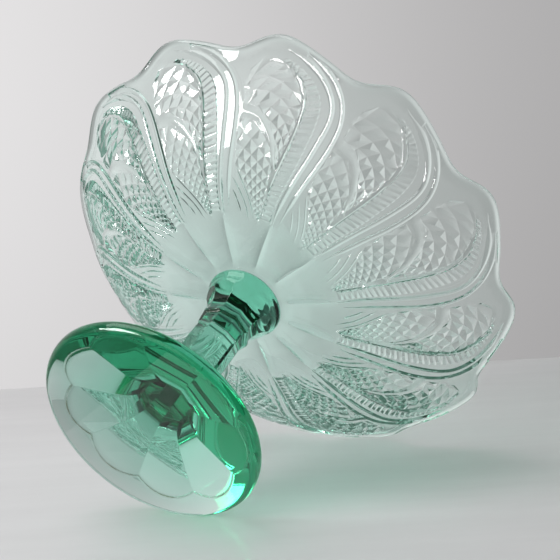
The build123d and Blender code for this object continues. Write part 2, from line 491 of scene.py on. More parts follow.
# %% [markdown]
# ## Knop
#
# The knop is the button of glass that joins stem and bowl. Its nine facets flare out
# under a round bell. Near the top the facets run out past the bell, so each one ends in
# an arch. Taking the smaller of the two radii in every column gives those arches.

# %% Make the knop
NECK = 1.2
KNOP_FLARE = 18.5
BELL = [(0.0, 13.1), (16.5, 17.2), (18.5, 18.3), (20.5, 18.3)]  # height above the neck, radius
KNOP_ROUND = 1.2
KNOP_SHOULDER = 19.3  # height above the neck where the rounded rim takes over
KNOP_ROW = 0.7
KNOP_SPREAD = 17.8  # height over which the facets sweep out


def soft_min(a, b, blend=0.05):
    """The smaller of two radii, with the corner between them rounded by blend."""
    return (a + b - np.sqrt((a - b) ** 2 + blend**2)) / 2


def knop_rings():
    """The knop's rings from the neck up to the face under the bowl."""
    rings = []
    start = STEM_TOP
    heights = [0, NECK / 2, *np.arange(NECK, KNOP_SHOULDER, KNOP_ROW), KNOP_SHOULDER]
    for height in heights:
        over = max(height - NECK, 0)
        side = NECK_APOTHEM + KNOP_FLARE - math.sqrt(KNOP_FLARE**2 - min(over, KNOP_SPREAD) ** 2)
        bell = np.interp(height, [b[0] for b in BELL], [b[1] for b in BELL])
        rings.append(ring(soft_min(flat_side(side), bell), start + height))
    rim = arc((KNOP_RADIUS - KNOP_ROUND, KNOP_TOP - KNOP_ROUND), KNOP_ROUND, 15, 90, 5)
    rings += [ring(r - 0.02, z - SEAM_GAP) for r, z in rim]
    return rings


knop = stack("knop_glass_body", knop_rings(), [], KNOP_GLASS, 1, 1)
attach(knop, "root")
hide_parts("knop")

# %% [markdown]
# ## Bowl: one petal of relief
#
# The pattern is cut into the mould, so it stands on the underside only and the inside of
# the bowl is smooth. It repeats twelve times. A displacement map would need millions of
# faces to keep its edges crisp, and a Boolean per tooth would be slow, so one petal is
# drawn as lines, each line with the height of the glass on it, and a constrained
# triangulation fills in between. Crisp edges then lie exactly where the mould's tool
# cut them.
#
# A petal is drawn flat, as (across, radius) in millimetres. Across is measured along the
# circle of that radius from the petal's left border.

# %% Plan of one petal
PETALS = 12
TURN = 2 * math.pi / PETALS
PETAL_START = math.radians(19.2)
BOWL_CURVE = 131.7
BOWL_FLAT = 18.6
BOWL_WALL = 4.5
SEAT_RADIUS = 17.1
RIM_RADIUS = 113.4
RIM_WAVE = 4.0
LOBE_PHASE = math.radians(19.1)
LOBE_LEAN = -0.35
RIM_ROUND = 2.15
RIM_STEPS = 24  # points along the rim of one petal

BORDER = [(-0.7, 17.1), (-0.7, 19.6), (-1.2, 32.7), (-1.4, 44.4), (-2.2, 46.7), (-2.7, 51.4),
          (-2.3, 60.7), (-1.3, 70.1), (-0.1, 77.1), (0.7, 84.1), (1.3, 91.1), (1.1, 94.8),
          (0.0, 97.6), (-1.9, 99.9), (-5.4, 102.7), (-10.0, 105.4), (-14.9, 107.3),
          (-21.2, 108.9), (-28.0, 109.9), (-31.6, 110.7)]
RIB_A = [(-0.9, 46.2), (-1.3, 51.4), (-0.9, 60.7), (0.2, 70.1), (1.3, 77.1), (2.1, 84.1), (2.8, 91.1),
         (2.6, 95.7), (1.4, 99.0), (-0.9, 101.6), (-4.7, 104.4), (-9.3, 106.9), (-14.5, 108.9),
         (-21.0, 110.5), (-27.0, 111.4)]
RIB_B = [(2.0, 49.5), (2.4, 53.7), (3.3, 60.7), (4.8, 70.1), (6.1, 75.7), (7.0, 80.3), (8.0, 87.8),
         (8.0, 92.5), (7.2, 97.1), (5.4, 100.4), (2.3, 103.7), (-2.3, 106.7), (-7.5, 109.0),
         (-14.0, 110.9), (-19.0, 111.9)]


def smooth_line(points, step=1.5, passes=5):
    """A line through the points, sampled about every step millimetres, with soft turns."""
    points = np.array(points, float)
    length = np.concatenate([[0], np.cumsum(np.hypot(*np.diff(points, axis=0).T))])
    count = max(int(length[-1] / step), 2)
    at = np.linspace(0, length[-1], count + 1)
    line = np.stack([np.interp(at, length, points[:, k]) for k in (0, 1)], axis=1)
    for _ in range(passes):
        line[1:-1] = (line[:-2] + 2 * line[1:-1] + line[2:]) / 4
    return line


def beside(line, offset):
    """The line moved sideways: positive is to the right as the line runs outwards."""
    along = np.gradient(line, axis=0)
    along /= np.linalg.norm(along, axis=1)[:, None]
    return line + offset * np.stack([along[:, 1], -along[:, 0]], axis=1)


def wall_angle(radius):
    """Slope angle of the bowl's wall at a radius on its plain outside."""
    return math.asin(max(radius - BOWL_FLAT, 0) / BOWL_CURVE)


def rim_distance(azimuth):
    """Distance along the wall from the flat to the rim, at an azimuth."""
    wave = PETALS * (azimuth - LOBE_PHASE)
    return BOWL_CURVE * wall_angle(RIM_RADIUS) - RIM_WAVE * np.cos(wave + LOBE_LEAN * np.cos(wave))


def below_rim(angle, distance):
    """Radius of the wall this far below the rim; angle is from the petal's start."""
    along = rim_distance(PETAL_START + angle) - distance
    return BOWL_FLAT + BOWL_CURVE * np.sin(along / BOWL_CURVE)


# %% [markdown]
# The drawing collects points and lines. A point is put down once, as (angle, radius),
# with its height below the plain outside of the wall. The pattern's highest crests reach
# that plain outside, so that the looks never leave the CAD envelope.

# %% The drawing board
PLAIN = -0.85


class Drawing:
    """Points with heights, and the lines between them, of one petal."""

    def __init__(self):
        self.points, self.heights, self.lines = [], [], []
        self.zones, self.facet_zones = [], []

    def dot(self, angle, radius, height):
        self.points.append((radius * math.cos(angle), radius * math.sin(angle)))
        self.heights.append(height)
        return len(self.points) - 1

    def line(self, run, heights):
        """A chain of (across, radius) points, with one height or one for each."""
        heights = np.broadcast_to(heights, len(run))
        ids = [self.dot(a / r, r, h) for (a, r), h in zip(run, heights)]
        self.lines += list(zip(ids[:-1], ids[1:]))
        return ids

    def zone(self, run, facets=False):
        """Keeps fill points out of a closed outline; facets=True keeps its faces flat too."""
        self.zones.append(np.array([(r * math.cos(a / r), r * math.sin(a / r)) for a, r in run]))
        if facets:
            self.facet_zones.append(self.zones[-1])


def inside(polygon, spots):
    """Which spots lie inside a polygon, by counting crossings."""
    x, y = spots[:, 0][:, None], spots[:, 1][:, None]
    x1, y1 = polygon.T
    x2, y2 = np.roll(polygon, -1, axis=0).T
    crosses = (y1 > y) != (y2 > y)
    rise = np.where(y2 == y1, 1, y2 - y1)
    return (crosses & (x < (x2 - x1) * (y - y1) / rise + x1)).sum(axis=1) % 2 == 1


petal = Drawing()
print("rim reaches", below_rim(np.linspace(0, TURN, 7), 0).round(1))

# %% [markdown]
# Two raised ribs start at the knop end of each petal, run out side by side and bend over
# under the rim. Each is a rounded bead, drawn as five lines from foot to crest to foot.

# %% Ribs
def bead(drawing, centre, half_width, crest, foot):
    """A rounded bead along a line, as five lines across its section."""
    taper = np.clip(np.linspace(0, 1, len(centre)) * 8, 0.25, 1)
    taper *= np.clip(np.linspace(1, 0, len(centre)) * 8, 0.3, 1)
    normal = beside(centre, 1) - centre
    for share in (-1, -0.55, 0, 0.55, 1):
        shape = 1 - share**2
        run = centre + normal * (share * half_width * taper)[:, None]
        drawing.line(run, foot + (crest - foot) * shape * taper)
    left = centre - normal * (half_width * taper)[:, None]
    right = centre + normal * (half_width * taper)[:, None]
    drawing.zone(np.concatenate([left, right[::-1]]))


border = smooth_line(BORDER, passes=2)
rib_a = smooth_line(RIB_A)
rib_b = smooth_line(RIB_B)
bead(petal, rib_a, 1.15, 0.0, PLAIN)
bead(petal, rib_b, 1.1, 0.0, PLAIN)
print("ribs", len(petal.points), "points")

# %% [markdown]
# Along the right border runs a comb of fine teeth, which follows the next petal's ribs
# round the bend and dies out under the rim. Every tooth is a small prism: a crest line, a
# groove line, and so on.

# %% Comb
COMB_LEFT = [(-6.8, 46.7), (-7.8, 56.0), (-7.9, 74.7), (-8.1, 89.7), (-9.6, 97.0), (-12.2, 101.3),
             (-16.8, 104.2), (-22.5, 106.6), (-29.0, 108.1)]
COMB_RIGHT = [(-2.6, 46.7), (-3.3, 56.0), (-1.9, 74.7), (-1.9, 89.7), (-3.6, 97.6), (-6.4, 101.0),
              (-11.0, 104.1), (-18.0, 106.9), (-27.5, 108.8)]
TOOTH = 2.4
CREST, GROOVE = -0.15, -0.85
MOAT = 0.4
BORDER_GAP = 0.2  # between the foot of the comb and the petal's border


def from_right(run):
    """Moves points measured from the right border to measure from the left one."""
    run = np.array(run, float)
    return np.stack([run[:, 0] + run[:, 1] * TURN, run[:, 1]], axis=1)


def even(points, count):
    """Count + 1 points spread evenly along a line."""
    points = np.array(points, float)
    length = np.concatenate([[0], np.cumsum(np.hypot(*np.diff(points, axis=0).T))])
    at = np.linspace(0, length[-1], count + 1)
    return np.stack([np.interp(at, length, points[:, k]) for k in (0, 1)], axis=1)


def moat(drawing, run, offset):
    """A line at the foot of a feature, beside its edge, so that its wall stays steep."""
    drawing.line(beside(run, offset), PLAIN)


def comb(drawing):
    """Draws the comb as crest and groove lines, and returns how many teeth it has."""
    left, right = smooth_line(COMB_LEFT), smooth_line(COMB_RIGHT)
    longest = np.hypot(*np.diff(right, axis=0).T).sum()
    count = 2 * int(longest / TOOTH)
    left, right = from_right(even(left, count)), from_right(even(right, count))
    height = np.where(np.arange(count + 1) % 2, CREST, GROOVE)
    a = drawing.line(left, height)
    b = drawing.line(right, height)
    drawing.lines += list(zip(a, b))
    left_foot, right_foot = beside(left, -MOAT), beside(right, MOAT)
    edge = np.interp(right_foot[:, 1], border[:, 1], border[:, 0]) + right_foot[:, 1] * TURN
    right_foot[:, 0] = np.minimum(right_foot[:, 0], edge - BORDER_GAP)
    drawing.line(left_foot, PLAIN)
    drawing.line(right_foot, PLAIN)
    drawing.zone(np.concatenate([left_foot, right_foot[::-1]]), facets=True)
    return count // 2


teeth = comb(petal)
print("comb of", teeth, "teeth")

# %% [markdown]
# Between the second rib and the comb lie two fields of pointed diamonds with a plain
# band between them. Each field is a lattice about its own tip, so the diamonds shrink
# towards it. The inner field shrinks evenly, while the rows of the outer one stay the
# same height, which draws its last diamonds out into spikes.

# %% Diamond fields
def from_middle(run):
    """Points measured from the petal's middle line, measured from the left border."""
    run = np.array(run, float)
    return np.stack([run[:, 0] + run[:, 1] * TURN / 2, run[:, 1]], axis=1)


OUTER_TIP = (8.2, 71.0)
INNER_FIELD = [(4.2, 44.5), (1.9, 49.0), (-0.3, 54.6), (-4.9, 61.6), (-10.2, 67.7), (-11.9, 77.0),
               (-12.6, 85.8), (-4.7, 85.4), (-0.4, 82.1), (4.0, 76.3), (6.3, 69.6), (5.6, 57.0)]
OUTER_FIELD = [(8.2, 71.0), (6.6, 78.6), (2.0, 85.9), (-4.7, 91.0), (-12.6, 91.5), (-13.2, 97.0),
               (-13.4, 103.0), (-9.5, 107.0), (-3.0, 108.3), (3.0, 106.6), (9.3, 101.9), (12.6, 97.8),
               (13.2, 93.0), (12.0, 84.5)]


FAN = 1.4  # half the opening of a lattice about its tip, in radians


class Lattice:
    """Rhombic cells about a tip: cell borders are whole numbers of p and of q."""

    def __init__(self, tip, wide, tall, even_shrink):
        self.tip, self.wide, self.tall, self.even_shrink = tip, wide, tall, even_shrink

    def cell(self, spots):
        spots = np.asarray(spots, float) - self.tip
        reach = np.hypot(spots[..., 0], spots[..., 1])
        turn = np.arctan2(spots[..., 0], spots[..., 1]) / self.wide
        rows = np.log(np.maximum(reach, 0.01)) if self.even_shrink else reach
        return turn + rows / self.tall, turn - rows / self.tall

    def spot(self, p, q):
        turn = (p + q) / 2 * self.wide
        rows = (p - q) / 2 * self.tall
        reach = math.exp(rows) if self.even_shrink else rows
        return self.tip[0] + reach * math.sin(turn), self.tip[1] + reach * math.cos(turn)

    def numbers(self):
        """All pairs p, q whose nodes lie ahead of the tip, within a fan."""
        span = range(-60, 61)
        fan = 2 * FAN / self.wide
        return [(p, q) for p in span for q in span if p > q and abs(p + q) < fan]

    def rise(self, spots):
        """0 on a cell's border, 1 in its middle."""
        p, q = self.cell(spots)
        return 1 - 2 * np.maximum(abs(p - np.floor(p) - 0.5), abs(q - np.floor(q) - 0.5))


def meets(a, b, c, d):
    """Where along a-b it crosses c-d, or None."""
    a, b, c, d = (np.asarray(v, float) for v in (a, b, c, d))
    r, s = b - a, d - c
    cross = r[0] * s[1] - r[1] * s[0]
    if abs(cross) < 1e-9:
        return None
    t = ((c - a)[0] * s[1] - (c - a)[1] * s[0]) / cross
    u = ((c - a)[0] * r[1] - (c - a)[1] * r[0]) / cross
    return t if 0 < t < 1 and 0 <= u < 1 else None


def diamonds(drawing, outline, lattice, low, high):
    """Fills an outline, drawn from the petal's middle, with pointed diamonds."""
    outline = np.array(outline, float)
    closed = list(zip(outline, np.roll(outline, -1, axis=0)))
    stops = [[] for _ in closed]  # where lattice lines meet each side of the outline
    ends = {}
    edges = []
    cells = lattice.numbers()
    nodes = {(p, q): lattice.spot(p, q) for p, q in cells}
    keys = list(nodes)
    within = inside(outline, np.array([nodes[k] for k in keys]))
    within = dict(zip(keys, within))
    for p, q in keys:
        for other in ((p + 1, q), (p, q + 1)):
            if other not in within or not (within[p, q] or within[other]):
                continue
            start, end = nodes[p, q], nodes[other]
            if within[p, q] and within[other]:
                edges.append(((p, q), other))
                continue
            for side, (c, d) in enumerate(closed):
                t = meets(start, end, c, d)
                if t is not None:
                    spot = (np.array(start) * (1 - t) + np.array(end) * t)
                    name = ("stop", len(ends))
                    ends[name] = spot
                    stops[side].append((float(np.linalg.norm(spot - c)), name))
                    inner = (p, q) if within[p, q] else other
                    edges.append((inner, name))
                    break
    ids = {}

    def put(spot, height):
        (across, radius), = from_middle([spot])
        return drawing.dot(across / radius, radius, height)

    used = {key for edge in edges for key in edge}
    for key in used:
        ids[key] = put(ends[key] if key in ends else nodes[key], low)
    drawing.lines += [(ids[a], ids[b]) for a, b in edges]
    # The outline itself, with a low point at each lattice line and a high one between.
    chain = []
    for (c, _), side in zip(closed, stops):
        chain.append((c, None))
        chain += [(ends[name], name) for _, name in sorted(side)]
    ring_ids = []
    for (spot, name), (after, _) in zip(chain, chain[1:] + chain[:1]):
        rise = float(lattice.rise(spot))
        ring_ids.append(ids[name] if name else put(spot, low + (high - low) * rise))
        middle = (np.asarray(spot) + np.asarray(after)) / 2
        if np.linalg.norm(np.asarray(after) - spot) > 0.8:
            ring_ids.append(put(middle, low + (high - low) * float(lattice.rise(middle))))
    drawing.lines += list(zip(ring_ids, ring_ids[1:] + ring_ids[:1]))
    tips = np.array([lattice.spot(p + 0.5, q + 0.5) for p, q in cells])
    tips = tips[inside(outline, tips)]
    for spot in tips:
        put(spot, high)
    ring_line = from_middle(np.array([spot for spot, _ in chain] + [chain[0][0]]))
    drawing.zone(from_middle(outline), facets=True)
    moat(drawing, ring_line, -MOAT)
    drawing.zone(beside(ring_line, -MOAT))
    return len(tips)


inner_lattice = Lattice((5.5, 34.0), 0.16, 0.15, True)
outer_lattice = Lattice(OUTER_TIP, 0.38, 5.6, False)
inner_count = diamonds(petal, INNER_FIELD, inner_lattice, -1.0, -0.15)
outer_count = diamonds(petal, OUTER_FIELD, outer_lattice, -1.1, -0.12)
print("diamonds", inner_count, "and", outer_count)

# %% [markdown]
# A plain strip runs between the comb and the fields, a plain band parts the two fields,
# and thin arcs fan out below the inner field.

# %% Strip, band and arcs
STRIP = [(5.8, 47.5), (7.4, 56.0), (8.6, 64.0), (10.6, 71.5), (14.0, 84.1), (15.2, 93.4), (14.6, 98.1),
         (11.4, 102.9), (4.7, 107.7)]
BAND = [(-12.9, 88.7), (-4.7, 88.2), (0.9, 84.0), (5.3, 77.5), (7.6, 69.5)]
ARCS = [
    [(-9.6, 66.0), (-5.9, 60.4), (-1.3, 53.6), (1.4, 46.7)],
    [(-10.3, 61.5), (-6.5, 56.5), (-3.0, 51.4), (-0.9, 45.5)],
    [(-9.8, 56.5), (-6.8, 52.0), (-4.7, 47.5)],
]


def flat_band(drawing, centre, half_width, height):
    """A low plain band, drawn as two edges and a slightly higher middle."""
    normal = beside(centre, 1) - centre
    for share, lift in ((-1, -0.05), (0, 0.06), (1, -0.05)):
        drawing.line(centre + normal * (share * half_width), height + lift)
    sides = centre - normal * half_width, (centre + normal * half_width)[::-1]
    drawing.zone(np.concatenate(sides))


flat_band(petal, from_middle(smooth_line(STRIP)), 0.6, -0.2)
flat_band(petal, from_middle(smooth_line(BAND)), 0.9, -0.5)
for arc_line in ARCS:
    bead(petal, from_middle(smooth_line(arc_line)), 0.5, -0.35, PLAIN)
print("petal drawing", len(petal.points), "points", len(petal.lines), "lines")

# %% [markdown]
# The centre of the bowl carries twelve shallow hollows with soft ribs between them. They
# need no lines, only heights from a formula at closely spaced points. The same kind of
# point fills the plain ground between the features.

# %% Plain ground and hollows
FILL = 1.6  # between two points of the ground
HOLLOW_DEPTH = 1.3
HOLLOW_AT, HOLLOW_SHARE = [18.6, 24, 32, 40, 46, 51], [0, 0.6, 1, 0.75, 0.25, 0]
PLAIN_AT, PLAIN_SHARE = [18.6, 24, 40, 50], [0, 0.1, 0.3, 1]
BAND_LINE, BAND_DEPTH = 3.0, -0.12  # the smooth band under the rim: distance below it, height
BORDER_FOOT, BAND_FOOT, GROUND_END = 5.2, 5.4, 6.2  # distances below the rim
SOFT_RIB = np.arange(22.0, 44.0, 1.5)  # radii of the lines that flank a border near the centre
SOFT_RIB_SIDE = 0.9


def ground(angle, radius):
    """Height of the ground: hollows near the centre, plain further out."""
    across = angle / TURN
    scoop = math.sin(math.pi * min(max(across, 0), 1)) ** 0.5
    reach = np.interp(radius, HOLLOW_AT, HOLLOW_SHARE)
    fall = np.interp(radius, PLAIN_AT, PLAIN_SHARE)
    return PLAIN * fall - HOLLOW_DEPTH * scoop * reach


border_angles = border[:, 0] / border[:, 1]
rim_angles = float(border_angles[-1]) + np.arange(RIM_STEPS + 1) * TURN / RIM_STEPS
rim_radii = below_rim(rim_angles, RIM_ROUND)
seat_angles = border_angles[0] + np.arange(RIM_STEPS + 1) * TURN / RIM_STEPS


def border_at(radius):
    """Angle of the left border at a radius."""
    return np.interp(radius, border[:, 1], border_angles)


def close_petal(drawing):
    """Draws the borders, the rim band and the seat, and returns the ids along the outline."""
    sides = []
    for turn in (0, TURN):
        chain = [drawing.dot(a + turn, r, ground(0, r)) for a, r in zip(border_angles, border[:, 1])]
        band_foot = below_rim(rim_angles[0], BORDER_FOOT)
        extra = []
        if band_foot > border[-1, 1] + 0.3:
            extra.append((band_foot, PLAIN))
        extra.append((below_rim(rim_angles[0], BAND_LINE), BAND_DEPTH))
        chain += [drawing.dot(rim_angles[0] + turn, r, h) for r, h in extra]
        chain.append(drawing.dot(rim_angles[0] + turn, rim_radii[0], 0.0))
        drawing.lines += list(zip(chain[:-1], chain[1:]))
        sides.append(chain)
    left, right = sides
    rim = []
    rows = [(rim_radii, 0.0), (below_rim(rim_angles, BAND_LINE), BAND_DEPTH)]
    for row, (radii, height) in enumerate(rows):
        middle = [drawing.dot(a, r, height) for a, r in zip(rim_angles[1:-1], radii[1:-1])]
        rim = rim or middle
        chain = [left[-1 - row], *middle, right[-1 - row]]
        drawing.lines += list(zip(chain[:-1], chain[1:]))
    foot_radii = below_rim(rim_angles, BAND_FOOT)
    spots = np.stack([foot_radii * np.cos(rim_angles), foot_radii * np.sin(rim_angles)], axis=1)
    clear = np.ones(len(spots), bool)
    for polygon in drawing.zones:
        clear &= ~inside(polygon, spots)
    before = None
    for k in range(1, len(spots) - 1):
        here = drawing.dot(rim_angles[k], foot_radii[k], PLAIN) if clear[k] else None
        if here is not None and before is not None:
            drawing.lines.append((before, here))
        before = here
    for turn, side in ((0, 1), (TURN, -1)):
        step = side * SOFT_RIB_SIDE / SOFT_RIB
        angles = border_at(SOFT_RIB) + turn + step
        ids = [drawing.dot(a, r, ground(abs(s), r)) for a, r, s in zip(angles, SOFT_RIB, step)]
        drawing.lines += list(zip(ids[:-1], ids[1:]))
    seat = [drawing.dot(a, SEAT_RADIUS, 0.0) for a in seat_angles[1:-1]]
    chain = [left[0], *seat, right[0]]
    drawing.lines += list(zip(chain[:-1], chain[1:]))
    return left + rim + right[::-1] + seat[::-1]


outline_ids = close_petal(petal)


def fill_ground(drawing):
    """Loose points wherever no feature is near."""
    taken = np.array(drawing.points)
    spots, heights = [], []
    radius = SEAT_RADIUS + FILL
    row = 0
    while radius < BOWL_RADIUS:
        start = float(border_at(radius))
        count = int(radius * TURN / FILL)
        for k in range(count):
            angle = start + TURN * (k + (0.25 if row % 2 else 0.75)) / count
            if radius < below_rim(angle, GROUND_END):
                spots.append((radius * math.cos(angle), radius * math.sin(angle)))
                heights.append(ground(angle - start, radius))
        radius += FILL * 0.87
        row += 1
    spots, heights = np.array(spots), np.array(heights)
    keep = np.ones(len(spots), bool)
    for polygon in drawing.zones:
        keep &= ~inside(polygon, spots)
    for start in range(0, len(spots), 400):
        block = spots[start : start + 400]
        near = np.hypot(*(block[:, None] - taken[None]).transpose(2, 0, 1)).min(axis=1)
        keep[start : start + 400] &= near > FILL * 0.55
    for (x, y), height in zip(spots[keep], heights[keep]):
        drawing.points.append((x, y))
        drawing.heights.append(float(height))
    return int(keep.sum())


print("ground points", fill_ground(petal))

# %% [markdown]
# ## Bowl: twelve petals, rim and inside
#
# The petal is triangulated once and turned twelve times. Its two borders are copies of
# each other, so neighbours share their points exactly. Rows of points then carry the
# wall round the fire-polished rim and down the smooth inside, and the skin is closed.

# %% Triangulate and fold onto the wall
LEAST_AREA = 1e-4  # square millimetres; smaller triangles are slivers on the outline


def triangulate(drawing):
    """Points, heights and triangles of the drawing, seen as one flat sheet."""
    points = [Vector(p) for p in drawing.points]
    found = delaunay_2d_cdt(points, drawing.lines, [], 0, 1e-4)
    spots, faces, origins = found[0], found[2], found[3]
    heights = []
    known = np.array(drawing.points)
    for spot, origin in zip(spots, origins):
        if origin:
            heights.append(drawing.heights[origin[0]])
        else:  # two lines crossed here: take the mean of the nearest two points
            far = np.hypot(known[:, 0] - spot.x, known[:, 1] - spot.y)
            heights.append(float(np.mean([drawing.heights[i] for i in np.argsort(far)[:2]])))
    # The drawing's own coordinates are exact, so that the copies meet without a gap.
    spots = np.array([known[o[0]] if o else (s.x, s.y) for s, o in zip(spots, origins)])
    corners = spots[np.array(faces)]
    centres = corners.mean(axis=1)
    one, two = corners[:, 1] - corners[:, 0], corners[:, 2] - corners[:, 0]
    area = abs(one[:, 0] * two[:, 1] - one[:, 1] * two[:, 0]) / 2
    on_outline = np.array([bool(o) and o[0] in outline_ids for o in origins])
    sliver = on_outline[np.array(faces)].all(axis=1) & (area < LEAST_AREA)
    keep = inside(known[outline_ids], centres) & ~sliver
    flat = np.zeros(len(faces), bool)
    for polygon in drawing.facet_zones:
        flat |= inside(polygon, centres)
    faces = [(face, bool(f)) for face, kept, f in zip(faces, keep, flat) if kept]
    return spots, np.array(heights), faces


def on_wall(radius, azimuth, depth):
    """A point at a depth inside the wall; radius is where it would be on the outside."""
    angle = np.arcsin(np.maximum(radius - BOWL_FLAT, 0) / BOWL_CURVE)
    flat = np.minimum(radius, BOWL_FLAT)
    reach = flat + (BOWL_CURVE - depth) * np.sin(angle)
    height = KNOP_TOP + BOWL_CURVE - (BOWL_CURVE - depth) * np.cos(angle)
    return np.stack([reach * np.cos(azimuth), reach * np.sin(azimuth), height], axis=-1)


spots, heights, petal_faces = triangulate(petal)
print("petal mesh", len(spots), "points", len(petal_faces), "triangles")

# %% Build the whole bowl
INNER_ROWS = 34
EDGE_STEPS = 8


def whole_bowl():
    """Vertices, faces and slots of the closed bowl, in millimetres."""
    radius = np.hypot(spots[:, 0], spots[:, 1])
    angle = np.arctan2(spots[:, 1], spots[:, 0])
    used = sorted({i for face, _ in petal_faces for i in face})
    place = {}
    verts, faces, facets = [], [], set()

    def vertex(point):
        key = tuple(round(float(c), 3) for c in point)
        if key not in place:
            place[key] = len(verts)
            verts.append(key)
        return place[key]

    for copy in range(PETALS):
        turn = PETAL_START + copy * TURN
        body = on_wall(radius, angle + turn, -heights)
        ids = {i: vertex(body[i]) for i in used}
        for face, flat in petal_faces:
            corner = [ids[i] for i in face]
            if len(set(corner)) == 3:
                if flat:
                    facets.add(len(faces))
                faces.append(corner[::-1])
    columns = PETALS * RIM_STEPS
    azimuth = PETAL_START + rim_angles[0] + np.arange(columns) * TURN / RIM_STEPS
    limit = rim_distance(azimuth)

    def wall_row(along, depth):
        turn = along / BOWL_CURVE
        reach = BOWL_FLAT + (BOWL_CURVE - depth) * np.sin(turn)
        height = KNOP_TOP + BOWL_CURVE - (BOWL_CURVE - depth) * np.cos(turn)
        return np.stack([reach * np.cos(azimuth), reach * np.sin(azimuth), height], axis=-1)

    rows = [on_wall(below_rim(azimuth - PETAL_START, RIM_ROUND), azimuth, 0.0)]
    for step in range(1, EDGE_STEPS):
        turn = math.pi * step / EDGE_STEPS
        along = limit - RIM_ROUND + RIM_ROUND * math.sin(turn)
        rows.append(wall_row(along, BOWL_WALL / 2 - (BOWL_WALL / 2) * math.cos(turn)))
    for share in np.linspace(1, 0, INNER_ROWS)[:-1]:
        rows.append(wall_row((limit - RIM_ROUND) * share, BOWL_WALL))
    # The middle of the inside is flat, as wide as the flat underneath it.
    azimuths = np.stack([np.cos(azimuth), np.sin(azimuth)], axis=-1)
    for reach in (BOWL_FLAT, 12.5, 6.5):
        flat = np.full((columns, 1), KNOP_TOP + BOWL_WALL)
        rows.append(np.concatenate([azimuths * reach, flat], axis=1))
    ids = [[vertex(p) for p in row] for row in rows]
    after = [(k + 1) % columns for k in range(columns)]
    for low, high in zip(ids[:-1], ids[1:]):
        faces += [[low[k], low[n], high[n], high[k]] for k, n in enumerate(after)]
    centre = vertex((0, 0, KNOP_TOP + BOWL_WALL))
    faces += [[ids[-1][k], ids[-1][n], centre] for k, n in enumerate(after)]
    # The seat on the knop: a fused face, a hair above the knop's own.
    seat_azimuth = PETAL_START + seat_angles[0] + np.arange(columns) * TURN / RIM_STEPS
    seat = [vertex(p) for p in on_wall(np.full(columns, SEAT_RADIUS), seat_azimuth, 0.0)]
    middle = vertex((0, 0, KNOP_TOP))
    slots = [0] * len(faces) + [1] * columns
    faces += [[seat[n], seat[k], middle] for k, n in enumerate(after)]
    return verts, faces, slots, facets


verts, faces, slots, facets = whole_bowl()
mesh = bpy.data.meshes.new("bowl_glass_body")
mesh.from_pydata([tuple(c * MM for c in v) for v in verts], [], faces)
mesh.materials.append(BOWL_GLASS)
mesh.materials.append(SEAM)
mesh.polygons.foreach_set("material_index", slots)
mesh.polygons.foreach_set("use_smooth", [k not in facets for k in range(len(faces))])
mesh.set_sharp_from_angle(angle=math.radians(26))
print("bowl was repaired:", mesh.validate())
bowl = bpy.data.objects.new("bowl_glass_body", mesh)
bpy.context.scene.collection.objects.link(bowl)
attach(bowl, "root")
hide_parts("bowl")


def open_edges(obj):
    """How many edges don't join exactly two faces."""
    work = bmesh.new()
    work.from_mesh(obj.data)
    count = sum(len(edge.link_faces) != 2 for edge in work.edges)
    work.free()
    return count


for obj in (foot, stem, knop, bowl):
    print(obj.name, len(obj.data.polygons), "faces, open edges", open_edges(obj))

# %% [markdown]
# ## Stage
#
# The dish is shown lying on its foot's edge and its rim, as it was put down on a pale
# board against a pale wall. The board is a plane through those two points, and it only
# shows from above. Its near left corner, close to the window, is cut away, because the
# thick foot gathered the light of it into one glaring facet. The frame itself still
# stands upright on z = 0, where a second plain floor lies, which no glass mirrors.

# %% Boards
WORN = 0.93  # brightness of the worn patches


def plain(name, colour, roughness):
    """A matt paint with faint brush marks and worn patches, which shows from above only."""
    mat = bpy.data.materials.new(name)
    mat.use_nodes = True
    tree = mat.node_tree
    shader = tree.nodes["Principled BSDF"]
    shader.inputs["Roughness"].default_value = roughness
    place = add(tree, "ShaderNodeTexCoord").outputs["Object"]
    stretch = add(tree, "ShaderNodeMapping", Scale=(3.0, 14.0, 3.0), Vector=place)
    noise = add(tree, "ShaderNodeTexNoise", Scale=3.0, Detail=8.0, Roughness=0.6,
                Vector=stretch.outputs["Vector"]).outputs["Fac"]
    worn = (*[c * WORN for c in colour], 1)
    mix = add(tree, "ShaderNodeMix", data_type="RGBA", A=worn, B=(*colour, 1),
              Factor=ramp(tree, noise, 0.3, 0.7))
    feed(tree, shader.inputs["Base Color"], mix.outputs["Result"])
    bump = add(tree, "ShaderNodeBump", Strength=0.25, Distance=0.0006, Height=noise)
    feed(tree, shader.inputs["Normal"], bump.outputs["Normal"])
    side = add(tree, "ShaderNodeNewGeometry")
    gate = add(tree, "ShaderNodeMixShader", Fac=side.outputs["Backfacing"])
    feed(tree, gate.inputs[1], shader.outputs["BSDF"])
    feed(tree, gate.inputs[2], add(tree, "ShaderNodeBsdfTransparent").outputs["BSDF"])
    feed(tree, tree.nodes["Material Output"].inputs["Surface"], gate.outputs["Shader"])
    return mat


def placed(x_axis, y_axis, z_axis, at):
    """The matrix that turns an object's own axes to these and moves its origin there."""
    matrix = Matrix((x_axis, y_axis, z_axis)).transposed().to_4x4()
    matrix.translation = at
    return matrix


def board(name, origin, x_axis, y_axis, corners, mat):
    """A flat shape whose corners lie along two axes from an origin, in metres."""
    mesh = bpy.data.meshes.new(name)
    mesh.from_pydata([(x, y, 0) for x, y in corners], [], [tuple(range(len(corners)))])
    mesh.materials.append(mat)
    obj = bpy.data.objects.new(name, mesh)
    obj.matrix_world = placed(x_axis, y_axis, x_axis.cross(y_axis), origin)
    bpy.context.scene.collection.objects.link(obj)
    return obj


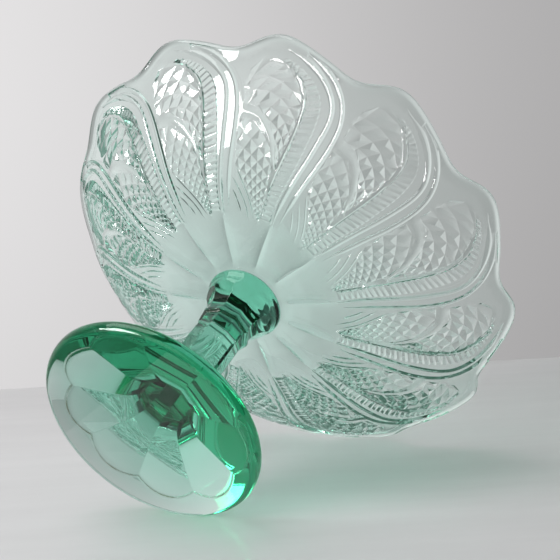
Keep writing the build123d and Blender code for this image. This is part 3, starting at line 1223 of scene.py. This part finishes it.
CAMERA_AT = Vector((0.42205, 0.0176, -0.32135))
LOOK = Vector((-0.6940, -0.0181, 0.7197))
CAMERA_UP = Vector((0.5876, -0.5919, 0.5517))
UP = Vector((0.6285, -0.6329, 0.4520)).normalized()  # square to the lying board
AHEAD = (LOOK - LOOK.dot(UP) * UP).normalized()
ACROSS = AHEAD.cross(UP)
REST_POINT = Vector((-0.0352, 0.0355, 0.0040))  # on the foot's edge
below_camera = CAMERA_AT + (REST_POINT - CAMERA_AT).dot(UP) * UP
BOARD_COLOUR = (0.62, 0.62, 0.625)
WALL_DISTANCE = 0.873
NEAR_EDGE, LEFT_CORNER = 0.42, 0.62  # how far ahead the board starts, and widens to the left
LEFT_EDGE = -0.24  # across the view, for each metre ahead
HALF_BOARD, HALF_FLOOR = 1.6, 6
BOARD_CORNERS = [
    (LEFT_EDGE * NEAR_EDGE, NEAR_EDGE), (HALF_BOARD, NEAR_EDGE), (HALF_BOARD, WALL_DISTANCE),
    (-HALF_BOARD, WALL_DISTANCE), (-HALF_BOARD, LEFT_CORNER), (LEFT_EDGE * LEFT_CORNER, LEFT_CORNER),
]
FLOOR_CORNERS = [(x * HALF_FLOOR, y * HALF_FLOOR) for x, y in ((-1, -1), (1, -1), (1, 1), (-1, 1))]
lying = board("lying_board", below_camera, ACROSS, AHEAD, BOARD_CORNERS,
              plain("board_paint", BOARD_COLOUR, 0.42))
upright = board("upright_floor", Vector((0, 0, -0.0005)), Vector((1, 0, 0)), Vector((0, 1, 0)),
                FLOOR_CORNERS, plain("floor_paint", BOARD_COLOUR, 0.6))
for kind in ("visible_diffuse", "visible_glossy", "visible_transmission", "visible_shadow"):
    setattr(upright, kind, False)
print("boards", [tuple(round(c, 3) for c in corner) for corner in BOARD_CORNERS])

# %% [markdown]
# ## Light
#
# Glass shows what stands round it, so the surroundings matter more than the lamps. A
# pale wall fills the view behind the dish, brighter on the left. Behind the camera the
# room is darker, and that dark comes back in the thick edges. One large window stands
# at the upper left. Its pale pane beside the camera puts light into the foot, while the
# lamps themselves are hidden from light that comes through glass, or they would burn
# hard spots into it.

# %% Room and lamps
def room_world():
    """A pale wall ahead, a darker room behind and a window pane beside the camera."""
    world = bpy.data.worlds.new("room")
    bpy.context.scene.world = world
    world.use_nodes = True
    tree = world.node_tree
    place = add(tree, "ShaderNodeTexCoord").outputs["Generated"]

    def along(axis, low, high, to_low, to_high):
        dot = add(tree, "ShaderNodeVectorMath", operation="DOT_PRODUCT")
        feed(tree, dot.inputs[0], place)
        feed(tree, dot.inputs[1], axis)
        return ramp(tree, dot.outputs["Value"], low, high, to_low, to_high, "SMOOTHSTEP")

    front = along(AHEAD, -0.2, 0.6, 0.14, 1.0)
    left = along(ACROSS, -0.3, 0.3, 0.80, 0.42)
    height = along(UP, -0.5, 0.1, 0.75, 1.0)
    pane = along(-AHEAD * 0.68 - ACROSS * 0.73, 0.75, 0.95, 0.0, 0.85)
    sill = along(UP, -0.4, -0.2, 0.0, 1.0)  # the pane ends above the board
    walls = calc(tree, "MULTIPLY", calc(tree, "MULTIPLY", front, left), height)
    total = calc(tree, "ADD", walls, calc(tree, "MULTIPLY", pane, sill))
    back = tree.nodes["Background"]
    feed(tree, back.inputs["Strength"], total)
    feed(tree, back.inputs["Color"], (1.0, 0.985, 0.99, 1))


def lamp(name, place, aim, size, power, colour=(1, 1, 1)):
    """A rectangular area lamp that faces a point; sizes in metres, power in watts."""
    data = bpy.data.lights.new(name, "AREA")
    data.shape = "RECTANGLE"
    data.size, data.size_y = size
    data.energy = power
    data.color = colour
    obj = bpy.data.objects.new(name, data)
    obj.location = place
    obj.rotation_mode = "QUATERNION"
    obj.rotation_quaternion = (Vector(aim) - place).to_track_quat("-Z", "Y")
    obj.visible_transmission = False
    bpy.context.scene.collection.objects.link(obj)
    return obj


room_world()
MIDDLE = Vector((0, 0, 0.08))
window_at = MIDDLE + (UP * 0.22 - AHEAD * 0.48 - ACROSS * 0.83) * 1.35
lamp("window", window_at, MIDDLE, (0.55, 0.6), 19, (1.0, 0.99, 0.99))
sky_at = MIDDLE + (UP * 0.9 - AHEAD * 0.1 - ACROSS * 0.4) * 1.5
lamp("skylight", sky_at, MIDDLE, (1.2, 1.2), 12)
bpy.context.scene.view_settings.view_transform = "Standard"
print("lamps at", window_at, sky_at)

# %% [markdown]
# ## Camera
#
# A portrait lens from low down, beyond the foot, with the board nearly level.

# %% Camera
lens = bpy.data.cameras.new("camera")
lens.sensor_width = 36
lens.lens = 82.44
camera = bpy.data.objects.new("camera", lens)
right = LOOK.cross(CAMERA_UP)
camera.matrix_world = placed(right, CAMERA_UP, -LOOK, CAMERA_AT)
lens.clip_start, lens.clip_end = 0.01, 50
bpy.context.scene.collection.objects.link(camera)
bpy.context.scene.camera = camera
